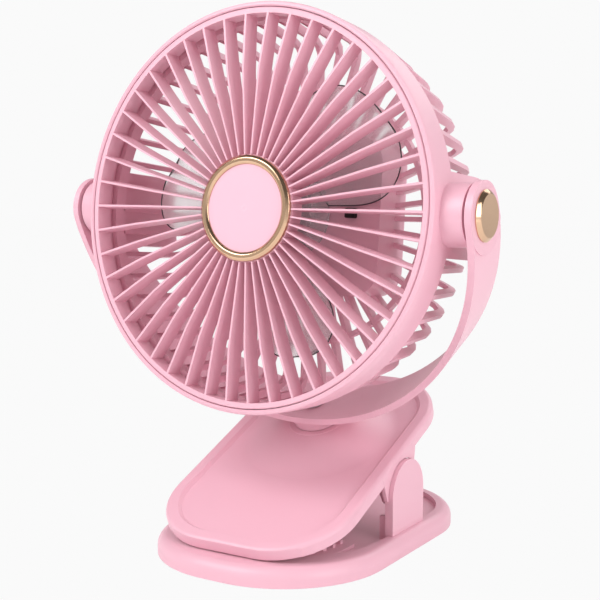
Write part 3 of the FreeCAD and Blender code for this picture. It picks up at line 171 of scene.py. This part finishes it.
def dressed_copy(node, material, soften=0.0, sharp=32.0, reshape=None, cuts=(), rides=True):
    """The node's own shape, merged, with its true edges kept and lightly broken.

    It is cut across the object at each y in cuts, in mm, then each point goes
    where reshape puts it. With rides false, the piece is not attached to its body.
    """
    source = frame["nodes"][node]
    mesh = source.data.copy()
    mesh.name = node + "_shape"
    shape = bmesh.new()
    shape.from_mesh(mesh)
    weld(shape, MERGE)
    for cut in cuts:
        everything = shape.verts[:] + shape.edges[:] + shape.faces[:]
        bmesh.ops.bisect_plane(shape, geom=everything, plane_co=(0, cut / 1000, 0), plane_no=(0, 1, 0))
    if reshape:
        for vertex in shape.verts:
            vertex.co = reshape(vertex.co.copy())
        weld(shape, MERGE_AGAIN)
    for face in shape.faces:
        face.smooth = True
    for edge in shape.edges:
        if len(edge.link_faces) != 2 or edge.calc_face_angle(0.0) > math.radians(sharp):
            edge.smooth = False
    shape.to_mesh(mesh)
    shape.free()
    mesh.materials.clear()
    mesh.materials.append(material)
    piece = linked(node + "_piece", mesh)
    if soften:
        bevel = piece.modifiers.new("broken_edges", "BEVEL")
        bevel.width = soften
        bevel.segments = 2
        bevel.limit_method = "ANGLE"
        bevel.angle_limit = math.radians(sharp)
        bevel.harden_normals = False
    body = next(b for b, names in frame["record"]["behaviour"]["bodies"].items() if node in names)
    if rides:
        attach(piece, body)
    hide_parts(node)
    return piece


# Frames of the moving parts, in millimetres of the rest pose. The lever's runs
# back along the plate from the hinge; the head's runs back along the fan's axis.
HINGE = Vector((0.0, 5.3, 24.6))
PLATE_NORMAL = Vector((0.0, -0.385101, 0.922875))
PLATE_BACK = Vector((0.0, 0.922875, 0.385101))
PIVOT = Vector((0.0, -33.319, 147.789))
FAN_BACK = Vector((0.0, 0.995107, -0.098799))
FAN_UP = Vector((0.0, 0.098799, 0.995107))


def into(point, origin, back, up):
    """Metres in the world to millimetres in a moving part's frame."""
    away = point * 1000 - origin
    return Vector((away.x, away.dot(back), away.dot(up)))


def out_of(local, origin, back, up):
    """Millimetres in a moving part's frame to metres in the world."""
    return (origin + Vector((local.x, 0, 0)) + back * local.y + up * local.z) / 1000


def ease(value, low, high):
    """A smooth step from 0 at low to 1 at high."""
    share = min(1.0, max(0.0, (value - low) / (high - low)))
    return share * share * (3 - 2 * share)


# Clip base. One pink moulding holds the sloping skirt, the recessed floor and
# the two hinge posts; a flat cover closes it from below with four screws.
BASE_HALF_WIDE, BASE_HALF_LONG, BASE_CORNER, BASE_TOP = 52.15, 76.05, 46.9, 8.5
SKIRT_WIDE, SKIRT_SPREAD, SKIRT_FROM, SKIRT_LOW = 3.3, 0.42, 5.3, 3.6
RIM_FIRST, RIM_LAST, RIM_GAIN, RIM_WIDENS = 6.8, 7.6, 7.5, (18.0, 52.0)


def sloped_skirt(point):
    """Widens the rim's rounded edge to a slope, and the rim itself in front."""
    x, y, z = point * 1000
    over = Vector((
        max(0.0, abs(x) - BASE_HALF_WIDE + BASE_CORNER),
        max(0.0, abs(y) - BASE_HALF_LONG + BASE_CORNER),
    ))
    if z > BASE_TOP + 0.1 or over.length < 30:
        return point
    inset = BASE_CORNER - over.length
    inward = Vector((-math.copysign(over.x, x), -math.copysign(over.y, y))).normalized()
    shift = 0.0
    if inset < SKIRT_WIDE and z > SKIRT_FROM - 0.1:
        shift = inset * SKIRT_SPREAD
        z = SKIRT_LOW + (z - SKIRT_FROM) * (BASE_TOP - SKIRT_LOW) / (BASE_TOP - SKIRT_FROM)
    elif RIM_FIRST < inset < RIM_LAST:
        shift = RIM_GAIN * ease(-y, *RIM_WIDENS)
    return Vector((x + inward.x * shift, y + inward.y * shift, z)) / 1000


dressed_copy("base_tray", pink_shell, 0.0003, reshape=sloped_skirt)
dressed_copy("base_cover", pink_shell, 0.0003)

# Grip pads and feet. Soft rose rubber sheets with a ladder of ribs sit in both
# jaws, and four grey rubber discs are glued into the bottom cover.
pad_rubber = skin_material(
    "pad_rubber", (0.56, 0.24, 0.31), (0.50, 0.20, 0.27), 0.62, 0.78, grain=0.25, Specular_IOR_Level=0.35
)


PAD_INSET, PAD_HALF_WIDE, PAD_SPREAD = 16.0, 23.0, 1.6


def wide_pad(point):
    """Spreads the lower pad over the floor, inside the rim's round corners."""
    x, y, z = point * 1000
    reach = BASE_CORNER - PAD_INSET
    room = math.sqrt(max(0.0, reach * reach - max(0.0, -y - BASE_HALF_LONG + BASE_CORNER) ** 2))
    limit = BASE_HALF_WIDE - BASE_CORNER + room
    return Vector((x * min(PAD_SPREAD, limit / PAD_HALF_WIDE), y, z)) / 1000


dressed_copy("base_jaw_pad", pink_shell, 0.0002, reshape=wide_pad, cuts=range(-59, -20, 2))
dressed_copy("lever_jaw_pad", pad_rubber, 0.00025)
foot_rubber = skin_material("foot_rubber", (0.20, 0.18, 0.19), (0.16, 0.15, 0.15), 0.7, 0.85, grain=0.3)
dressed_copy("rubber_feet", foot_rubber, 0.0002)

# Steel pieces. Screws, pins, spindle and motor can are zinc-plated steel with
# a fine brushed grain.
zinc_steel = skin_material(
    "zinc_steel", (0.60, 0.60, 0.61), (0.50, 0.50, 0.52), 0.25, 0.42,
    grain=0.2, grain_scale=900.0, Metallic=1.0
)
for node in (
    "base_screws", "hinge_pin", "swivel_spindle", "swivel_nut", "pivot_screw_right", "pivot_screw_left",
    "cover_screws", "motor_can", "motor_screws", "motor_shaft", "usb_socket",
):
    dressed_copy(node, zinc_steel)

# Clip spring. Darker oiled spring wire, wound round the hinge pin. It doesn't ride with the lever; it stays
# fixed as it stands in the rest pose.
spring_wire = skin_material("spring_wire", (0.36, 0.35, 0.35), (0.28, 0.27, 0.27), 0.25, 0.38, Metallic=1.0)
clip_spring = dressed_copy("torsion_spring", spring_wire, sharp=60.0, rides=False)
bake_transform(clip_spring)

# Lever plate. The upper jaw of the clip: a thick soft rim round a sunk panel,
# with ears that nest round the posts and the raised seat of the swivel.
PLATE_HALF_WIDE, PLATE_CORNER, PLATE_FRONT, PLATE_END, PANEL_TOP = 45.2, 32.2, 72.5, 62.5, 17.26
SWIVEL_BACK, SWIVEL_TOP = 11.8, 24.76
RIM_INSET, RIM_TOP_INSET, RIM_FOOT_INSET, RIB_REACH = 8.0, 5.6, 7.2, 32


def flush_plate(point):
    """Ears flush with the plate's side, and rib ends kept within its skirt."""
    local = into(point, HINGE, PLATE_BACK, PLATE_NORMAL)
    if abs(local.x) > PLATE_HALF_WIDE + 0.05:
        local.x = math.copysign(PLATE_HALF_WIDE + 0.05, local.x)
    middle = (PLATE_END - PLATE_FRONT) / 2
    half = (PLATE_END + PLATE_FRONT) / 2
    over = Vector((
        max(0.0, abs(local.x) - PLATE_HALF_WIDE + PLATE_CORNER),
        max(0.0, abs(local.y - middle) - half + PLATE_CORNER),
    ))
    on_inner_edge = abs(PLATE_CORNER - RIM_INSET - over.length) < 0.15
    if local.z > 17 and on_inner_edge and max(over.x, over.y) > 1:
        wider = PLATE_CORNER - (RIM_TOP_INSET if local.z > 18 else RIM_FOOT_INSET)
        over = over.normalized() * wider
        if over.x > 0:
            local.x = math.copysign(over.x + PLATE_HALF_WIDE - PLATE_CORNER, local.x)
        if over.y > 0:
            local.y = middle + math.copysign(over.y + half - PLATE_CORNER, local.y - middle)
    elif abs(local.x) < RIB_REACH and over.y > 1 and over.length > PLATE_CORNER - 0.4:
        over = over.normalized() * (PLATE_CORNER - 0.4)
        local.y = middle + math.copysign(over.y + half - PLATE_CORNER, local.y - middle)
    return out_of(local, HINGE, PLATE_BACK, PLATE_NORMAL)


dressed_copy("lever_plate", pink_shell, 0.0004, reshape=flush_plate)

# Swivel mound. The panel rises in a soft slope to the seat that the yoke's
# foot turns on.
MOUND_STEPS, MOUND_TURNS, MOUND_INNER, MOUND_OUTER = 16, 96, 13.2, 36.3
mound_mesh = bpy.data.meshes.new("swivel_mound")
mound = bmesh.new()
rings = []
for step in range(MOUND_STEPS + 1):
    share = step / MOUND_STEPS
    radius = MOUND_INNER + (MOUND_OUTER - MOUND_INNER) * share
    height = PANEL_TOP - 0.03 + (SWIVEL_TOP - 0.15 - PANEL_TOP) * (1 - ease(share, 0.0, 1.0))
    ring = []
    for turn in range(MOUND_TURNS):
        angle = 2 * math.pi * turn / MOUND_TURNS
        local = Vector((radius * math.cos(angle), SWIVEL_BACK + radius * math.sin(angle), height))
        ring.append(mound.verts.new(out_of(local, HINGE, PLATE_BACK, PLATE_NORMAL)))
    rings.append(ring)
for inner, outer in zip(rings, rings[1:]):
    for turn in range(MOUND_TURNS):
        after = (turn + 1) % MOUND_TURNS
        mound.faces.new((inner[turn], outer[turn], outer[after], inner[after])).smooth = True
mound.to_mesh(mound_mesh)
mound.free()
mound_mesh.materials.append(pink_shell)
swivel_mound = linked("swivel_mound", mound_mesh)
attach(swivel_mound, "lever")

# Yoke. One bent band of the same pink plastic with round arm ends; its foot
# turns on the plate.


ARM_REACH = 13.5


def trimmed_arms(point):
    """Arm ends as narrow as the band itself, so that they run into it."""
    away = point * 1000 - PIVOT
    along, up = away.dot(PLATE_BACK), away.dot(PLATE_NORMAL)
    if abs(away.x) < 60:
        return point
    if up > 0 and math.hypot(along, up) > ARM_REACH:
        short = ARM_REACH / math.hypot(along, up)
        along, up = along * short, up * short
    elif up <= 0:
        along = max(-ARM_REACH, min(ARM_REACH, along))
    return (PIVOT + Vector((away.x, 0, 0)) + PLATE_BACK * along + PLATE_NORMAL * up) / 1000


dressed_copy("yoke_band", pink_shell, 0.0005, reshape=trimmed_arms)
washer_nylon = skin_material("washer_nylon", (0.72, 0.69, 0.66), (0.66, 0.63, 0.6), 0.4, 0.5)
dressed_copy("friction_washers", washer_nylon)

# Gold trim. The pivot caps and the hub ring are plastic with a bright
# champagne gold plating, smooth and warm in its reflections.
gold_plate = skin_material(
    "gold_plate", (0.78, 0.53, 0.36), (0.68, 0.44, 0.28), 0.14, 0.22, grain=0.02, Metallic=1.0
)
for node in ("pivot_cap_right", "pivot_cap_left", "hub_trim_ring"):
    dressed_copy(node, gold_plate, 0.0002, sharp=20.0)

# Head mouldings. The drum with its cheeks, the ribbed front grille, the back
# cage with the battery pod, the pod's cover and its button are pink as well.
dressed_copy("drum_housing", pink_shell, 0.0003)
RIB_STEP = 2 * math.pi / 46
RIB_INNER, RIB_OUTER, RIB_FRONT, RIB_HALF_WIDE, DRAFT = 22.0, 80.4, -14.0, 1.05, 0.5


def drafted_ribs(point):
    """Thins the front edge of each grille rib, as a mould's draft does."""
    local = into(point, PIVOT, FAN_BACK, FAN_UP)
    radius = math.hypot(local.x, local.z)
    if not RIB_INNER < radius < RIB_OUTER or local.y > RIB_FRONT:
        return point
    angle = math.atan2(local.z, local.x)
    nearest = round(angle / RIB_STEP) * RIB_STEP
    across = radius * math.sin(angle - nearest)
    if abs(across) > RIB_HALF_WIDE:
        return point
    turn = nearest + math.asin(DRAFT * across / radius)
    local.x, local.z = radius * math.cos(turn), radius * math.sin(turn)
    return out_of(local, PIVOT, FAN_BACK, FAN_UP)


dressed_copy("front_grille", pink_shell, 0.00022, reshape=drafted_ribs)


HOOK_HALF_WIDE, HOOK_NEAR = 1.2, 0.25
HOOK_CORNERS = (
    # radius and depth of an inner corner, then where it goes
    (78.4, 0.1, 80.4, 0.1), (74.3, 26.0, 76.7, 26.4), (72.9, 30.0, 75.3, 31.2), (70.5, 31.6, 72.0, 33.8),
)


def slimmer_ribs(point):
    """Draws the inner corners of the cage's ribs out, to thin their hooks."""
    local = into(point, PIVOT, FAN_BACK, FAN_UP)
    radius = math.hypot(local.x, local.z)
    for from_r, from_y, to_r, to_y in HOOK_CORNERS:
        away = min(abs(math.hypot(radius, HOOK_HALF_WIDE) - from_r), abs(radius - from_r))
        if away < HOOK_NEAR and abs(local.y - from_y) < HOOK_NEAR:
            grow = to_r / from_r
            return out_of(Vector((local.x * grow, to_y, local.z * grow)), PIVOT, FAN_BACK, FAN_UP)
    return point


dressed_copy("rear_cage", pink_shell, 0.0004, reshape=slimmer_ribs)
dressed_copy("pod_cover", pink_shell)
dressed_copy("power_button", pink_shell, 0.0003)

# Hub disc. A plain pale disc snapped into the gold ring, a little glossier
# than the shell.
disc_pink = skin_material("disc_pink", (0.91, 0.52, 0.62), (0.89, 0.50, 0.60), 0.22, 0.30, Coat_Weight=0.3)


def level_crown(point):
    """Levels the disc's middle, so that no point shows in its shine."""
    local = into(point, PIVOT, FAN_BACK, FAN_UP)
    if math.hypot(local.x, local.z) < 1 and local.y < -17.5:
        local.y += 0.05
    return out_of(local, PIVOT, FAN_BACK, FAN_UP)


dressed_copy("hub_disc", disc_pink, 0.0002, sharp=20.0, reshape=level_crown)

# Motor terminal. A small black plug stands on the pod's front wall beside the
# motor, where its wires come through.
terminal_black = skin_material("terminal_black", (0.006, 0.006, 0.006), (0.01, 0.01, 0.01), 0.5, 0.6)
terminal_mesh = bpy.data.meshes.new("motor_terminal")
terminal = bmesh.new()
bmesh.ops.create_cube(terminal, size=1.0)
TERMINAL_PLACE, TERMINAL_SIZE = Vector((29.0, 18.4, 1.0)), Vector((4.6, 3.2, 4.0))
for vertex in terminal.verts:
    vertex.co = out_of(TERMINAL_PLACE + TERMINAL_SIZE * vertex.co, PIVOT, FAN_BACK, FAN_UP)
bmesh.ops.bevel(terminal, geom=terminal.edges[:], offset=0.0003, segments=2, affect="EDGES")
terminal.to_mesh(terminal_mesh)
terminal.free()
terminal_mesh.materials.append(terminal_black)
motor_terminal = linked("motor_terminal", terminal_mesh)
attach(motor_terminal, "head")

# Inside the pod. Three sleeved cells, the green board with its socket, the
# black switch and the lamp's clear light pipe.
cell_sleeve = skin_material("cell_sleeve", (0.13, 0.30, 0.52), (0.11, 0.26, 0.46), 0.25, 0.35)
dressed_copy("battery_cells", cell_sleeve, 0.0002)
board_green = skin_material("board_green", (0.02, 0.12, 0.05), (0.01, 0.09, 0.04), 0.35, 0.5)
dressed_copy("circuit_board", board_green)
switch_black = skin_material("switch_black", (0.02, 0.02, 0.02), (0.03, 0.03, 0.03), 0.4, 0.55)
dressed_copy("tact_switch", switch_black)
lamp_clear = skin_material("lamp_clear", (0.85, 0.85, 0.82), (0.8, 0.8, 0.78), 0.2, 0.3)
dressed_copy("charge_lamp", lamp_clear)

# Impeller. Three broad rounded blades and their cup, injected in clear
# styrene with a faint smoky tint.
clear_blade = skin_material(
    "clear_blade", (0.93, 0.90, 0.91), (0.90, 0.87, 0.88), 0.16, 0.26, grain=0.0, cloud_scale=90.0,
    Transmission_Weight=0.80, IOR=1.30
)
blades = dressed_copy("impeller", clear_blade, sharp=40.0)

# Blade edges. Painted shade: thin near-black tubes laid along each blade's rim and along the lip of the cup
# stand in for the dark lines that light bending through the clear blades' edges makes.
painted_edge_shade = skin_material("painted_edge_shade", (0.035, 0.03, 0.035), (0.05, 0.045, 0.05), 0.3, 0.4)
CUP_RADIUS, EDGE_ANGLE = 19.6, math.radians(60)
rims = bmesh.new()
rims.from_mesh(blades.data)
rim_segments = []
for edge in rims.edges:
    ends = [into(vertex.co, PIVOT, FAN_BACK, FAN_UP) for vertex in edge.verts]
    nearest_end = min(math.hypot(end.x, end.z) for end in ends)
    if nearest_end > CUP_RADIUS and len(edge.link_faces) == 2 and edge.calc_face_angle(0.0) > EDGE_ANGLE:
        rim_segments.append([vertex.co.copy() for vertex in edge.verts])
rims.free()
# painted shade: a dark tube on each blade rim, not a tint of the plastic
edge_curve = bpy.data.curves.new("blade_edges", "CURVE")
edge_curve.dimensions = "3D"
edge_curve.bevel_depth = 0.00028
edge_curve.bevel_resolution = 1
for start, end in rim_segments:
    line = edge_curve.splines.new("POLY")
    line.points.add(1)
    line.points[0].co = (*start, 1)
    line.points[1].co = (*end, 1)
edge_curve.materials.append(painted_edge_shade)
blade_edges = linked("blade_edges", edge_curve)
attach(blade_edges, "impeller")

# Studio. A pale floor and world, white to the camera, with soft lamps over
# the left shoulder, on the right and behind.
WHITE = 0.956


def seen_by_camera(tree):
    """The light path, and a node that is 1 for rays that the camera sees, through glass as well."""
    path = tree.nodes.new("ShaderNodeLightPath")
    seen = shader_node(tree, "ShaderNodeMath", operation="MAXIMUM")
    tree.links.new(path.outputs["Is Camera Ray"], seen.inputs[0])
    tree.links.new(path.outputs["Is Transmission Ray"], seen.inputs[1])
    return path, seen


floor_mesh = bpy.data.meshes.new("studio_floor")
floor_shape = bmesh.new()
bmesh.ops.create_grid(floor_shape, x_segments=2, y_segments=2, size=3.0)
floor_shape.to_mesh(floor_mesh)
floor_shape.free()
floor = linked("studio_floor", floor_mesh)
floor.location.z = -0.0002
floor_paint = bpy.data.materials.new("floor_paint")
floor_paint.use_nodes = True
tree = floor_paint.node_tree
matte = tree.nodes["Principled BSDF"]
matte.inputs["Base Color"].default_value = (0.9, 0.9, 0.9, 1)
matte.inputs["Roughness"].default_value = 0.9
glow = tree.nodes.new("ShaderNodeEmission")
glow.inputs["Color"].default_value = (WHITE, WHITE, WHITE, 1)
path, seen = seen_by_camera(tree)
share = shader_node(tree, "ShaderNodeMath", operation="MULTIPLY")
share.inputs[1].default_value = 0.995
blend = tree.nodes.new("ShaderNodeMixShader")
tree.links.new(seen.outputs[0], share.inputs[0])
tree.links.new(share.outputs[0], blend.inputs["Fac"])
tree.links.new(matte.outputs["BSDF"], blend.inputs[1])
tree.links.new(glow.outputs["Emission"], blend.inputs[2])
tree.links.new(blend.outputs["Shader"], tree.nodes["Material Output"].inputs["Surface"])
floor_mesh.materials.append(floor_paint)

# World. Even ambient light, plain white behind, and a sky for reflections
# that is bright low down and dim above.
world = bpy.data.worlds.new("studio")
scene.world = world
world.use_nodes = True
tree = world.node_tree
ambient = tree.nodes["Background"]
ambient.inputs["Color"].default_value = (1.0, 0.98, 0.985, 1)
ambient.inputs["Strength"].default_value = 0.68
backdrop = tree.nodes.new("ShaderNodeBackground")
backdrop.inputs["Color"].default_value = (1.0, 1.0, 1.0, 1)
backdrop.inputs["Strength"].default_value = WHITE
mirrored = tree.nodes.new("ShaderNodeBackground")
mirrored.inputs["Color"].default_value = (1.0, 0.985, 0.97, 1)
heading = tree.nodes.new("ShaderNodeTexCoord")
split = tree.nodes.new("ShaderNodeSeparateXYZ")
height = tree.nodes.new("ShaderNodeMapRange")
for name, value in (("From Min", -0.25), ("From Max", 0.45), ("To Min", 1.1), ("To Max", 0.12)):
    height.inputs[name].default_value = value
tree.links.new(heading.outputs["Generated"], split.inputs["Vector"])
tree.links.new(split.outputs["Z"], height.inputs["Value"])
tree.links.new(height.outputs["Result"], mirrored.inputs["Strength"])
path, seen = seen_by_camera(tree)
blend = tree.nodes.new("ShaderNodeMixShader")
shine = tree.nodes.new("ShaderNodeMixShader")
tree.links.new(path.outputs["Is Glossy Ray"], shine.inputs["Fac"])
tree.links.new(ambient.outputs["Background"], shine.inputs[1])
tree.links.new(mirrored.outputs["Background"], shine.inputs[2])
tree.links.new(seen.outputs[0], blend.inputs["Fac"])
tree.links.new(shine.outputs["Shader"], blend.inputs[1])
tree.links.new(backdrop.outputs["Background"], blend.inputs[2])
tree.links.new(blend.outputs["Shader"], tree.nodes["World Output"].inputs["Surface"])

# Lamps, all aimed at the middle of the fan: place, side in metres and watts.
for name, place, side, power in (
    ("key_lamp", (-0.45, -0.80, 0.85), 0.7, 8.0),
    ("side_lamp", (0.95, -0.25, 0.40), 0.6, 3.6),
    ("back_lamp", (0.1, 0.9, 0.9), 0.8, 3.4),
):
    lamp_data = bpy.data.lights.new(name, "AREA")
    lamp_data.size = side
    lamp_data.energy = power
    lamp = linked(name, lamp_data)
    lamp.location = place
    lamp.rotation_euler = (Vector((0, -0.02, 0.11)) - lamp.location).to_track_quat("-Z", "Y").to_euler()
